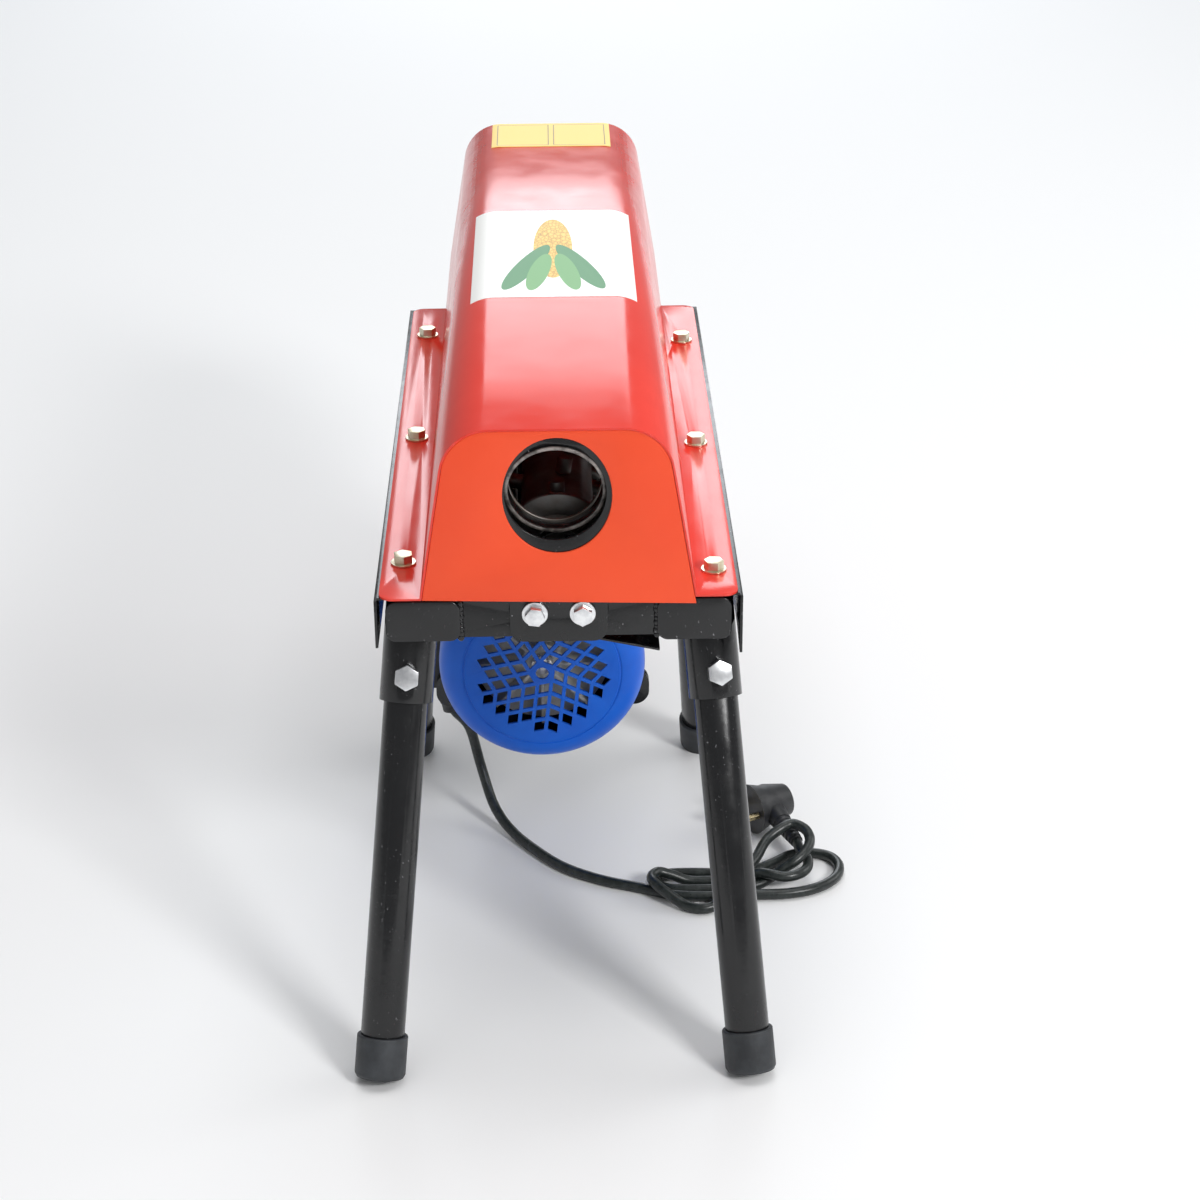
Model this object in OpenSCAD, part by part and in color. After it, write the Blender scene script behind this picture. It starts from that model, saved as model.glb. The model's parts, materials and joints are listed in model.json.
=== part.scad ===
/* [Hood] */
// Length of the sheet hood, front to back
hood_len = 611; // [560:1:680]
// Half width of the hood at its foot
hood_half_w = 77; // [70:1:84]
// Height of the hood above its flanges
hood_h = 100; // [96:1:112]
// Inward lean of the hood's side walls, in degrees
wall_lean = 9.5; // [6:0.5:12]
// Outer radius of the two long bends
bend_r = 28; // [20:1:32]
// Thickness of the red sheet
sheet_t = 1.2; // [1:0.1:1.6]
// Half width over the side flanges
flange_half_w = 100; // [99:1:101]
// Length of the side flanges
flange_len = 486; // [480:1:500]

/* [Feed opening] */
// Outer radius of the feed tube
tube_r = 28; // [26:0.5:29]
// Height of the feed tube's axis above the flanges
tube_z = 61.5; // [60:0.5:64]
// Slant of the tube's mouth, top lip forward, in degrees
mouth_slant = 13.5; // [5:0.5:18]

/* [Rotor] */
// Height of the rotor's axis above the flanges
rotor_z = 14; // [12:0.5:15]
// Radius of the rotor's drum tube
drum_r = 21; // [18:1:22]
// Radius over the shelling studs
stud_tip_r = 31; // [28:1:31]
// Number of studs along each row
studs_in_row = 9; // [5:1:9]

/* [Motor] */
// Sideways place of the motor's axis
motor_x = -11; // [-14:1:-8]
// Height of the motor's axis, below the flanges
motor_z = -144; // [-148:1:-142]
// Outer radius of the fan cover
cover_r = 66.5; // [64:0.5:68]
// Outer radius of the motor's steel shell
shell_r = 62; // [58:1:62]
// Pitch radius of the motor pulley
motor_pulley_r = 30; // [26:1:34]
// Pitch radius of the rotor pulley
rotor_pulley_r = 48; // [40:1:50]

/* [Stand] */
// Height of the hood's flanges above the floor
deck_z = 280; // [280:1:281]
// Outer radius of the leg tubes, one inch pipe
leg_r = 12.7; // [12:0.1:13]
// Outer radius of the leg sockets
socket_r = 15.25; // [15:0.25:16]
// Outer radius of the rubber foot caps
cap_r = 14.75; // [14.5:0.05:15.5]
// Height of the rubber foot caps
cap_h = 24.5; // [20:0.5:30]

/* [Cord] */
// Diameter of the mains cord
cord_d = 6.8; // [6:0.1:7.2]

/* [Hidden] */
$fn = 64;

// Distance of the hood's front edge from the machine's middle
front_y = -270.15;
// Air between the cross members and the rails' undersides
slip = 0.2;

// Bend centres of the hood, and its wall line
bend_z = hood_h - bend_r;
bend_x = hood_half_w - bend_z * tan(wall_lean) - bend_r / cos(wall_lean);
function wall_x(z, grow = 0) = hood_half_w - z * tan(wall_lean) + grow / cos(wall_lean);

// Flange screws: the two rows sit a little apart along the machine
left_screw_y = [48, 238, 429];
right_screw_y = [33, 223, 412];
screw_x = 88;
m6_shank_r = 3;
m6_hole_r = 3.3;
m8_shank_r = 4;
m8_hole_r = 4.25;

// Side rails: rolled angle under each flange
rail_top = -sheet_t;
rail_t = 1.5;
rail_in = 70;
rail_out = 102.5;
rail_low = -30;

// Front plate, inlet plate and cross member stand one behind the other
front_plate_y = [0.3, 1.8];
inlet_plate_y = [2, 4];
member_y = [4.2, 7.2];
tab_half_w = 27.3;
tab_low = -28.5;
tab_r = 8;
tab_bolt_x = 13.3;
tab_bolt_z = -11;

// Threshing cage
cage_front_y = 26;
cage_rear_y = 442;
cage_plate_t = 2.5;
concave_r = 35;
rod_r = 2.5;
front_journal_r = 6;
rear_journal_r = 8.5;
bearing_play = 0.05;
front_bearing_r = 16;
rear_bearing_r = 20;

// Kernel chute: slope, and the edge it ends at
kernel_fall = 12.4;
kernel_low_x = 57;
kernel_low_z = -41;

// Drum
drum_y = [44, 386];
disc_r = 29;

// Belt drive, behind the cage
belt_y = 507;
belt_w = 10;
belt_in = 0.3;
belt_t = 8;
pulley_w = 18;

// Motor stations along Y
cover_y = 190;
cover_wall = 1.8;
fan_y = 206;
shield_y = 226;
shell_y = [236, 388];
rear_shield_y = 402;
motor_shaft_r = 7;

// Crossbars and the plate that the motor hangs from
crossbar_y = [300, 360];
crossbar_w = 25;
crossbar_z = -46;
motor_plate_z = -79;
hanger_x = [-76, 72];
foot_bolt_x = [-38, 38];
foot_bolt_y = [316, 370];
foot_w = 16;

// Leg axes, from the deck to the middle of each foot's sole
leg_top = [[-81, 44, 0], [82.5, 44, 0], [-82.5, 258, 0], [82.5, 258, 0]];
leg_sole = [[-107.4, -57.6, -277], [107.4, -57.6, -277],
    [-104.6, 342.1, -277.6], [100.6, 342.1, -277.6]];
leg_bolt_turn = [0, -10, 0, 0];
socket_len = 77;
leg_bolt_at = 62;

// Gland under the terminal box
gland_at = [-74, 255, -178];

// The cord's route, from the gland to the plug, in the machine's own frame
cord_route = [
    [-74, -15.15, 100], [-74, -15.15, 88], [-71, -14, 76], [-61, -11.5, 61],
    [-53.5, -19, 34], [-44, -37, 12], [-28, -62, 3.6], [-2, -97, 3.6], [24, -116, 3.6],
    [50, -127, 3.6], [72, -137, 3.6], [96, -139, 3.6], [124, -138, 3.6], [146, -137, 3.6],
    [164, -131, 3.6], [177, -119, 3.6], [181, -104, 3.6], [176, -92, 3.6], [164, -87, 3.6],
    [151, -89, 3.6], [140, -98, 3.6], [126, -107, 3.6], [108, -111, 3.6], [88, -110, 3.6],
    [71, -110, 3.6], [63, -114, 3.6], [61, -120, 3.6], [65, -127, 3.6], [74, -130, 3.6],
    [92, -130.5, 3.6], [112, -130, 3.6], [126, -126, 3.6], [135, -120.5, 5.5],
    [143, -117.5, 10], [151.5, -115, 14.5], [158.8, -108.5, 18.3], [162, -99.7, 21],
    [160, -90, 23], [152.1, -83.6, 24], [144.2, -87, 22.5], [134, -94, 18],
    [126, -108, 12.5], [118, -121, 10.9], [110, -134, 10.9], [104, -144, 9.5],
    [97, -151.5, 4.6], [88, -154, 3.6], [78, -150, 4], [68, -143, 8], [60, -135, 10.9],
    [57.5, -126.5, 10.9], [62, -120, 10.9], [71, -119.5, 8], [82, -120, 4],
    [98, -120.3, 3.6], [114, -120.3, 3.6], [120, -120.5, 5], [127, -122.5, 10.2],
    [134, -126, 11.4], [143, -128.5, 10.8], [152, -126, 10.8], [158.5, -118.5, 10.8],
    [160, -107.5, 10.9], [156.2, -97.8, 12.1], [154.6, -88, 13]];
cord_ring_step = 13;
cord_sides = 10;

// Plug: the cord leaves it sideways
plug_at = [139, -46, 17.6];
plug_turn = 208;
plug_face_r = 17.5;

// Puts parts that are given from the hood's front edge and flange plane in place
module on_deck() translate([0, front_y, deck_z]) children();

module along_y(y0, y1) translate([0, y1, 0]) rotate([90, 0, 0]) linear_extrude(y1 - y0) children();

module rod_y(r, y0, y1) translate([0, y0, 0]) rotate([-90, 0, 0]) cylinder(r = r, h = y1 - y0);

// Turns +Z to run from a towards b
module aim(a, b) {
    d = b - a;
    translate(a) rotate([0, acos(d[2] / norm(d)), atan2(d[1], d[0])]) children();
}

// The hood's outline seen from the front, grown by a distance, from its foot up
module hood_outline(grow = 0, foot_left = 0, foot_right = 0) {
    r = bend_r + grow;
    side_x = bend_x + r * cos(wall_lean);
    side_z = bend_z + r * sin(wall_lean);
    for (s = [-1, 1]) translate([s * bend_x, bend_z]) circle(r);
    polygon([[-wall_x(foot_left, grow), foot_left], [wall_x(foot_right, grow), foot_right],
        [side_x, side_z], [bend_x, bend_z], [bend_x, bend_z + r],
        [-bend_x, bend_z + r], [-bend_x, bend_z], [-side_x, side_z]]);
}

// A flat plate with chosen corners rounded: x0, z0, x1, z1 and a radius
module round_plate(x0, z0, x1, z1, r) {
    for (x = [x0 + r, x1 - r], z = [z0 + r, z1 - r]) translate([x, z]) circle(r);
    translate([x0 + r, z0]) square([x1 - x0 - 2 * r, z1 - z0]);
    translate([x0, z0 + r]) square([x1 - x0, z1 - z0 - 2 * r]);
}

// Hex bolt with a flange, head up, seated at z = 0
module flange_bolt(shank_r, shank_len, across, flange_r, head_h) {
    cylinder(r = flange_r, h = 1.2);
    cylinder(r = across / 2 / cos(30), h = head_h, $fn = 6);
    translate([0, 0, -shank_len]) cylinder(r = shank_r, h = shank_len + 0.5);
}

// One row of flange screw holes, on the right side
module screw_holes(rows) for (y = rows) translate([screw_x, y, -5])
    cylinder(r = m6_hole_r, h = 10);

module hood() color("red") on_deck() difference() {
    union() {
        along_y(0, hood_len) difference() {
            hood_outline(0, -sheet_t, -sheet_t);
            hood_outline(-sheet_t, -2 * sheet_t, -2 * sheet_t);
        }
        for (s = [0, 1]) mirror([s, 0, 0]) flange();
    }
    mirror([1, 0, 0]) screw_holes(left_screw_y);
    screw_holes(right_screw_y);
}

// Side flange with its outer corners rounded
module flange() {
    corner_r = 8;
    in_x = wall_x(0) - 1;
    translate([in_x, 0, -sheet_t]) cube([flange_half_w - in_x - corner_r, flange_len, sheet_t]);
    translate([in_x, corner_r, -sheet_t])
        cube([flange_half_w - in_x, flange_len - 2 * corner_r, sheet_t]);
    for (y = [corner_r, flange_len - corner_r])
        translate([flange_half_w - corner_r, y, -sheet_t]) cylinder(r = corner_r, h = sheet_t);
}

// Front plate with an oval hole; its foot is cut a little askew
module front_plate() color("red") on_deck() along_y(front_plate_y[0], front_plate_y[1]) {
    hole_half_w = 30;
    hole_half_h = 34;
    hole_z = 60.5;
    difference() {
        hood_outline(-sheet_t - 0.15, -1.5, -5.5);
        translate([0, hole_z])
            polygon([for (a = [0:6:354]) [hole_half_w * cos(a), hole_half_h * sin(a)]]);
    }
}

module hood_screws() color("goldenrod") on_deck() {
    for (y = left_screw_y) translate([-screw_x, y, 0]) hood_screw(y);
    for (y = right_screw_y) translate([screw_x, y, 0]) hood_screw(y);
}

// One M6 flange screw; each head has stopped at an angle of its own
module hood_screw(y) rotate([0, 0, y * 7]) flange_bolt(m6_shank_r, rail_t + sheet_t, 10, 7.2, 6);

// A sticker that follows the hood's outer skin
module sticker(half_w, y0, y1) {
    film = 0.25;
    along_y(y0, y1) intersection() {
        difference() {
            hood_outline(film);
            hood_outline(0, -1, -1);
        }
        translate([-half_w, 50]) square([2 * half_w, 60]);
    }
}

module main_label() color("white") on_deck() sticker(51, 217, 393);

module rear_label() color("gold") on_deck() sticker(43, 549, 610);

// Feed tube with a slanted mouth
module feed_tube() color("black") on_deck() {
    wall = 2;
    mouth_y = 6;
    tube_end = 22;
    translate([-1, 0, tube_z]) difference() {
        rod_y(tube_r, mouth_y - 14, tube_end);
        rod_y(tube_r - wall, mouth_y - 15, tube_end + 1);
        translate([0, mouth_y, 0]) rotate([mouth_slant, 0, 0])
            translate([-50, -60, -50]) cube([100, 60, 100]);
    }
}

// Black inlet plate; its tab hangs in front of the cross member
module inlet_plate() color("black") on_deck() along_y(inlet_plate_y[0], inlet_plate_y[1])
    difference() {
        union() {
            intersection() {
                hood_outline(-sheet_t - 2);
                translate([-80, 0]) square([160, 120]);
            }
            round_plate(-tab_half_w, tab_low, tab_half_w, 10, tab_r);
        }
        translate([-1, tube_z]) circle(tube_r + 0.05);
        for (s = [-1, 1]) translate([s * tab_bolt_x, tab_bolt_z]) circle(m6_hole_r);
    }

module inlet_bolts() color("silver") on_deck() for (s = [-1, 1])
    translate([s * tab_bolt_x, inlet_plate_y[0], tab_bolt_z]) rotate([90, 20 + 12 * s, 0]) {
        flange_bolt(m6_shank_r, 14, 10, 7.2, 6);
        translate([0, 0, -10.3]) difference() {
            cylinder(r = 5.8, h = 5, $fn = 6);
            translate([0, 0, -1]) cylinder(r = m6_shank_r, h = 7);
        }
    }

// Bent front cross member: a web with a top ledge under the rails
module front_cross_member() color("black") on_deck() difference() {
    union() {
        translate([-rail_in, member_y[0], -26])
            cube([2 * rail_in, member_y[1] - member_y[0], 26 + rail_top - slip]);
        translate([-rail_in, member_y[0], -5])
            cube([2 * rail_in, 15, 5 + rail_top - slip - 1]);
    }
    for (s = [-1, 1]) translate([s * tab_bolt_x, 0, tab_bolt_z]) rod_y(m6_hole_r, 0, 10);
}

// Lugs that tie the front sockets to the cross member
module front_gussets() color("black") on_deck() for (s = [0, 1]) mirror([s, 0, 0])
    along_y(member_y[0] - 2.2, member_y[0]) round_plate(55, -28.5 + s, 96.5, -3, 6);

module rail(front_tip, screw_rows) difference() {
    union() {
        translate([rail_in, 4.5, rail_top - rail_t])
            cube([rail_out - rail_in, flange_len - 4.5, rail_t]);
        translate([rail_out - rail_t, 0, 0]) rotate([90, 0, 90]) linear_extrude(rail_t)
            polygon([[0, rail_top], [0, front_tip], [28, rail_low], [flange_len, rail_low],
                [flange_len, rail_top]]);
    }
    screw_holes(screw_rows);
}

module left_rail() color("black") on_deck() mirror([1, 0, 0]) rail(rail_low, left_screw_y);

module right_rail() color("black") on_deck() rail(-36, right_screw_y);

// Rear cross member closes the frame between the rails
module rear_cross_member() color("black") on_deck() difference() {
    translate([-rail_in, 476, rail_low]) cube([2 * rail_in, 3, -rail_low + rail_top - slip]);
    translate([0, 0, rotor_z]) rod_y(24, 470, 485);
}

// Plate that closes one end of the threshing cage
module cage_plate_outline() intersection() {
    hood_outline(-sheet_t - 1, -24, -24);
    union() {
        translate([-80, rail_top]) square([160, 120]);
        translate([0, rotor_z]) circle(concave_r + 6);
    }
}

module cage_front_plate() color("dimgray") on_deck() difference() {
    union() {
        along_y(cage_front_y, cage_front_y + cage_plate_t) cage_plate_outline();
        translate([0, 0, rotor_z]) rod_y(19.5, cage_front_y, cage_front_y + 12);
    }
    translate([-1, 0, tube_z]) rod_y(26, cage_front_y - 1, cage_front_y + 20);
    translate([0, 0, rotor_z]) rod_y(front_bearing_r, cage_front_y - 1, cage_front_y + 20);
}

module cage_rear_plate() color("dimgray") on_deck() difference() {
    union() {
        along_y(cage_rear_y, cage_rear_y + cage_plate_t) cage_plate_outline();
        translate([0, 0, rotor_z]) rod_y(25, cage_rear_y, cage_rear_y + 14);
    }
    translate([0, 0, rotor_z]) rod_y(rear_bearing_r, cage_rear_y - 1, cage_rear_y + 20);
}

// A sealed bearing: outer ring, shields and inner ring as one solid
module bearing(outer_r, bore_r, y0, width) translate([0, 0, rotor_z]) difference() {
    rod_y(outer_r, y0, y0 + width);
    rod_y(bore_r, y0 - 1, y0 + width + 1);
    for (y = [y0 - 1, y0 + width - 0.6]) difference() {
        rod_y(outer_r - 3, y, y + 1.6);
        rod_y(bore_r + 2.5, y - 1, y + 3);
    }
}

module front_bearing() color("silver") on_deck()
    bearing(front_bearing_r, front_journal_r + bearing_play, cage_front_y + 1, 10);

module rear_bearing() color("silver") on_deck()
    bearing(rear_bearing_r, rear_journal_r + bearing_play, cage_rear_y + 1, 12);

// Concave under the drum: long rods on half hoops
module concave_rods() color("gray") on_deck() for (a = [180:22.5:360])
    translate([(concave_r + rod_r) * cos(a), 0, rotor_z + (concave_r + rod_r) * sin(a)])
        rod_y(rod_r, cage_front_y + cage_plate_t, 390);

// Half hoops with ears that sit on the rails
module concave_hoops() color("gray") on_deck() for (y = [90, 200, 310, 384]) {
    hoop_w = 6;
    hoop_r = concave_r + 2 * rod_r;
    chute_top = kernel_low_z * 2 / 3;
    intersection() {
        translate([0, 0, rotor_z]) difference() {
            rod_y(hoop_r + 3, y, y + hoop_w);
            rod_y(hoop_r, y - 1, y + hoop_w + 1);
        }
        rotate([0, kernel_fall, 0]) translate([-90, 0, chute_top])
            cube([180, 500, 90]);
        translate([-60, 0, -60]) cube([120, 500, 60 + rotor_z]);
    }
    for (s = [0, 1]) mirror([s, 0, 0]) translate([hoop_r - 0.5, y, rail_top])
        cube([34.5, hoop_w, 3]);
}

// Sloping sheet that throws the kernels out to the right, with a tab under the left rail
module kernel_chute() color("black") on_deck() {
    run = 124;
    depth = 375;
    left_x = kernel_low_x - run * cos(kernel_fall);
    translate([kernel_low_x, 16, kernel_low_z]) rotate([0, kernel_fall, 0])
        translate([-run, 0, -sheet_t]) cube([run, depth, sheet_t]);
    translate([left_x - sheet_t, 62, -15]) cube([sheet_t + 0.2, depth - 46, 15 + rail_top - rail_t]);
    translate([left_x - 16, 70, rail_top - rail_t - sheet_t]) cube([16, 160, sheet_t]);
}

// Slide under the gap behind the concave, where bare cobs fall out to the left
module cob_chute() color("black") on_deck() {
    fall = 13;
    high = [70, -8];
    low = high - [136, 136 * tan(fall)];
    under = sheet_t / cos(fall);
    along_y(394, 438) polygon([[high[0], rail_top - rail_t], high, low, low - [0, under],
        [high[0] + sheet_t, high[1] - under + sheet_t * tan(fall)],
        [high[0] + sheet_t, rail_top - rail_t]]);
}

// Strap that hangs between the rails and carries the motor plate
module crossbar(y) difference() {
    reach = rail_out - rail_t;
    union() {
        translate([-reach, y, crossbar_z]) cube([2 * reach, crossbar_w, 3]);
        for (x = [-reach, reach - 3]) translate([x, y, crossbar_z])
            cube([3, crossbar_w, -crossbar_z - 4]);
    }
    for (x = hanger_x) translate([x, y + crossbar_w / 2, crossbar_z - 1])
        cylinder(r = m8_hole_r, h = 5);
}

module front_crossbar() color("black") on_deck() crossbar(crossbar_y[0]);

module rear_crossbar() color("black") on_deck() crossbar(crossbar_y[1]);

module motor_plate() color("black") on_deck() difference() {
    translate([-86, crossbar_y[0], motor_plate_z])
        cube([168, crossbar_y[1] + crossbar_w - crossbar_y[0], 3]);
    for (x = hanger_x, y = crossbar_y)
        translate([x, y + crossbar_w / 2, motor_plate_z - 1]) cylinder(r = m8_hole_r, h = 5);
    for (x = foot_bolt_x, y = foot_bolt_y)
        translate([motor_x + x, y, motor_plate_z - 1]) cylinder(r = m8_hole_r, h = 5);
}

module nut(r, h, bore_r) difference() {
    cylinder(r = r, h = h, $fn = 6);
    translate([0, 0, -1]) cylinder(r = bore_r, h = h + 2);
}

// Four hanger studs that set the belt's tension, and four foot bolts
module motor_bolts() color("silver") on_deck() {
    for (x = hanger_x, y = crossbar_y) translate([x, y + crossbar_w / 2, 0]) {
        translate([0, 0, -90]) cylinder(r = m8_shank_r, h = 53);
        for (z = [crossbar_z + 3, crossbar_z - 6.5, motor_plate_z + 3, motor_plate_z - 6.5])
            translate([0, 0, z]) nut(7.5, 6.5, m8_shank_r);
    }
    for (x = foot_bolt_x, y = foot_bolt_y) translate([motor_x + x, y, motor_plate_z + 3])
        flange_bolt(m8_shank_r, 10, 13, 9, 7);
}

module at_motor() translate([motor_x, 0, motor_z]) children();

// Welded feet between the shell and the plate
module motor_feet() color("black") on_deck() for (y = foot_bolt_y) difference() {
    translate([motor_x - 48, y - foot_w / 2, motor_z + 30])
        cube([96, foot_w, motor_plate_z - motor_z - 30]);
    at_motor() rod_y(shell_r, y - foot_w, y + foot_w);
    translate([motor_x - 36, y - foot_w, motor_z + 28]) cube([72, 2 * foot_w, 20]);
    for (x = foot_bolt_x) translate([motor_x + x, y, motor_plate_z - 11])
        cylinder(r = m8_hole_r, h = 12);
}

module motor_shell() color("black") on_deck() at_motor() difference() {
    rod_y(shell_r, shell_y[0], shell_y[1]);
    rod_y(shell_r - 3, shell_y[0] - 1, shell_y[1] + 1);
}

// Front end shield with two low lugs
module motor_front_shield() color("black") on_deck() at_motor() difference() {
    union() {
        rod_y(cover_r - cover_wall, shield_y, shell_y[0]);
        along_y(shield_y + 2, shell_y[0]) round_plate(-70, -43, 70, -18, 10);
        rod_y(18, shield_y - 6, shell_y[0] + 6);
    }
    rod_y(motor_shaft_r + bearing_play, shield_y - 10, shell_y[0] + 10);
}

module motor_rear_shield() color("black") on_deck() at_motor() difference() {
    union() {
        rod_y(shell_r, shell_y[1], rear_shield_y - 4);
        rod_y(shell_r - 8, shell_y[1], rear_shield_y);
        rod_y(20, shell_y[1] - 6, rear_shield_y + 5);
    }
    rod_y(motor_shaft_r + bearing_play, shell_y[1] - 10, rear_shield_y + 10);
}

// Laminated stator with its copper end windings
module stator() color("peru") on_deck() at_motor() {
    difference() {
        rod_y(shell_r - 3, 272, 352);
        rod_y(36, 271, 353);
    }
    for (y = [254, 352]) difference() {
        rod_y(54, y, y + 18);
        rod_y(39, y - 1, y + 19);
    }
}

// Rows of slots of one fan cover sector, between two ribs 72 degrees apart
module cover_slots() {
    pitch = 8.7;
    gap = 6.3;
    rib_shift = 6.6;
    reach = 40.5;
    side = gap / sin(72);
    for (sector = [0:4], i = [0:4], j = [0:4]) {
        a = (pitch * (i + 0.5) - rib_shift) / sin(72);
        b = (pitch * (j + 0.5) + rib_shift) / sin(72);
        centre = [a + b * cos(72), b * sin(72)];
        if (norm(centre) < reach) rotate(47 + 72 * sector) translate(centre)
            polygon([for (k = [[-1, -1], [1, -1], [1, 1], [-1, 1]])
                side / 2 * [k[0] + k[1] * cos(72), k[1] * sin(72)]]);
    }
}

// Half section of the fan cover: flat face, rounded shoulder, straight skirt
module cover_half(r, face_y) {
    shoulder = 18;
    translate([r - shoulder, face_y + shoulder]) intersection() {
        circle(shoulder);
        translate([0, -shoulder]) square([shoulder, shoulder]);
    }
    translate([0, face_y]) square([r - shoulder, 60]);
    translate([0, face_y + shoulder]) square([r, 60]);
}

module fan_cover() color("royalblue") on_deck() at_motor() difference() {
    groove_r = 50.6;
    rotate([-90, 0, 0]) rotate_extrude() difference() {
        intersection() {
            cover_half(cover_r, cover_y);
            translate([0, cover_y]) square([100, shell_y[0] - cover_y]);
        }
        cover_half(cover_r - cover_wall, cover_y + cover_wall);
        translate([groove_r, cover_y]) circle(0.7);
    }
    along_y(cover_y - 1, cover_y + 5) {
        cover_slots();
        circle(4.15);
    }
    along_y(shield_y + 1.7, shell_y[0] + 8) round_plate(-70.3, -43.3, 70.3, -17.7, 10);
}

// Terminal box on the shell's left side
module terminal_box() color("black") on_deck() difference() {
    translate([-86, 238, -178]) cube([26, 34, 74]);
    at_motor() rod_y(shell_r, 230, 280);
    translate([-87, 240.5, -175.5]) cube([11, 29, 69]);
    translate(gland_at) translate([0, 0, -5]) cylinder(r = 6.1, h = 13);
}

module terminal_lid() color("black") on_deck() translate([-88.2, 236.5, -179.5])
    cube([2.2, 37, 77]);

// Gland nut under the box, where the cord leaves
module cable_gland() color("black") on_deck() translate(gland_at) difference() {
    union() {
        translate([0, 0, -7]) cylinder(r = 9.5, h = 7, $fn = 6);
        translate([0, 0, -14]) cylinder(r1 = 5.5, r2 = 8, h = 7.5);
        cylinder(r = 6, h = 7);
    }
    translate([0, 0, -20]) cylinder(r = cord_d / 2 + 0.1, h = 40);
}

// Welded socket: a sleeve trimmed flush under the rail
module socket(i) color("black") on_deck() difference() {
    aim(leg_top[i], leg_sole[i]) translate([0, 0, -20]) cylinder(r = socket_r, h = socket_len + 20);
    aim(leg_top[i], leg_sole[i]) translate([0, 0, -30]) cylinder(r = leg_r + 0.1, h = 140);
    translate([-150, 0, rail_top - rail_t]) cube([300, 400, 50]);
    leg_bolt_hole(i);
}

module leg_bolt_frame(i) aim(leg_top[i], leg_sole[i]) translate([0, 0, leg_bolt_at])
    rotate([0, 0, 180 + leg_heading(i) + leg_bolt_turn[i]]) children();

// Turn about the leg that brings its bolt round to the machine's front or back
function leg_heading(i) = let(d = leg_sole[i] - leg_top[i])
    atan2(d[1], d[0]) - (d[1] < 0 ? -90 : 90);

module leg_bolt_hole(i) leg_bolt_frame(i) rotate([0, 90, 0]) translate([0, 0, -40])
    cylinder(r = m8_hole_r, h = 80);

// One inch leg tube with a bolt hole
module leg(i) color("black") on_deck() difference() {
    aim(leg_top[i], leg_sole[i]) translate([0, 0, 9])
        cylinder(r = leg_r, h = norm(leg_sole[i] - leg_top[i]) - 12.2);
    aim(leg_top[i], leg_sole[i]) cylinder(r = leg_r - 1.5, h = 400);
    leg_bolt_hole(i);
}

// Rubber cap over the leg's end, pressed flat where it stands
module cap(i) color("black") difference() {
    on_deck() difference() {
        aim(leg_sole[i], leg_top[i]) rotate_extrude() foot_half();
        aim(leg_sole[i], leg_top[i]) translate([0, 0, 3]) cylinder(r = leg_r + 0.05, h = 60);
    }
    translate([-200, -400, -20]) cube([400, 800, 20]);
}

module foot_half() {
    edge = 2.5;
    square([cap_r - edge, cap_h]);
    translate([0, edge]) square([cap_r, cap_h - edge - 1]);
    translate([cap_r - edge, edge]) circle(edge);
    translate([cap_r - 1, cap_h - 1]) circle(1);
    square([cap_r - 1, cap_h]);
}

// M8 bolts through socket and leg: heads outward, nuts inward
module leg_bolts() color("silver") on_deck() for (i = [0:3])
    leg_bolt_frame(i) rotate([0, 90, 0]) {
        translate([0, 0, socket_r]) cylinder(r = 7.5, h = 5.3, $fn = 6);
        translate([0, 0, -socket_r - 10]) cylinder(r = m8_shank_r, h = 2 * socket_r + 12);
        translate([0, 0, -socket_r - 6.5]) nut(7.5, 6.5, m8_shank_r);
    }

// Belt outline: an arc round each pulley and the two straight runs between them
module belt_outline(grow) {
    a = [0, rotor_z];
    b = [motor_x, motor_z];
    ra = rotor_pulley_r + grow;
    rb = motor_pulley_r + grow;
    d = b - a;
    heading = atan2(d[1], d[0]);
    wrap = acos((ra - rb) / norm(d));
    steps = 48;
    polygon([for (k = [0:steps])
            let(t = heading + wrap + (360 - 2 * wrap) * k / steps) a + ra * [cos(t), sin(t)],
        for (k = [0:steps])
            let(t = heading - wrap + 2 * wrap * k / steps) b + rb * [cos(t), sin(t)]]);
}

module v_belt() color("dimgray") on_deck() along_y(belt_y - belt_w / 2, belt_y + belt_w / 2)
    difference() {
        belt_outline(belt_in + belt_t);
        belt_outline(belt_in);
    }

// Pulley: groove a little wider than the belt, rims above it, hub in front
module pulley(groove_r, bore_r) difference() {
    rim = 5;
    union() {
        rod_y(groove_r, belt_y - pulley_w / 2, belt_y + pulley_w / 2);
        for (y = [belt_y - pulley_w / 2, belt_y + belt_w / 2 + 0.8])
            rod_y(groove_r + belt_in + rim, y, y + pulley_w / 2 - belt_w / 2 - 0.8);
        rod_y(bore_r + 6, belt_y - pulley_w / 2 - 6, belt_y + pulley_w / 2);
    }
    rod_y(bore_r, belt_y - 30, belt_y + 30);
}

module rotor_pulley() color("gray") on_deck() translate([0, 0, rotor_z])
    pulley(rotor_pulley_r, rear_journal_r);

module motor_pulley() color("gray") on_deck() at_motor() pulley(motor_pulley_r, motor_shaft_r);

// Stepped rotor shaft
module rotor_shaft() color("silver") on_deck() translate([0, 0, rotor_z]) {
    rod_y(front_journal_r, cage_front_y - 1, drum_y[0] - 4);
    rod_y(rear_journal_r, drum_y[0] - 4, belt_y + pulley_w / 2 + 6);
}

// Drum tube with an end disc at each end
module rotor_drum() color("dimgray") on_deck() translate([0, 0, rotor_z]) difference() {
    union() {
        rod_y(drum_r, drum_y[0], drum_y[1]);
        for (y = [drum_y[0], drum_y[1] - 4]) rod_y(disc_r, y, y + 4);
    }
    rod_y(drum_r - 3, drum_y[0] + 4, drum_y[1] - 4);
    rod_y(rear_journal_r, drum_y[0] - 1, drum_y[1] + 1);
}

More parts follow.
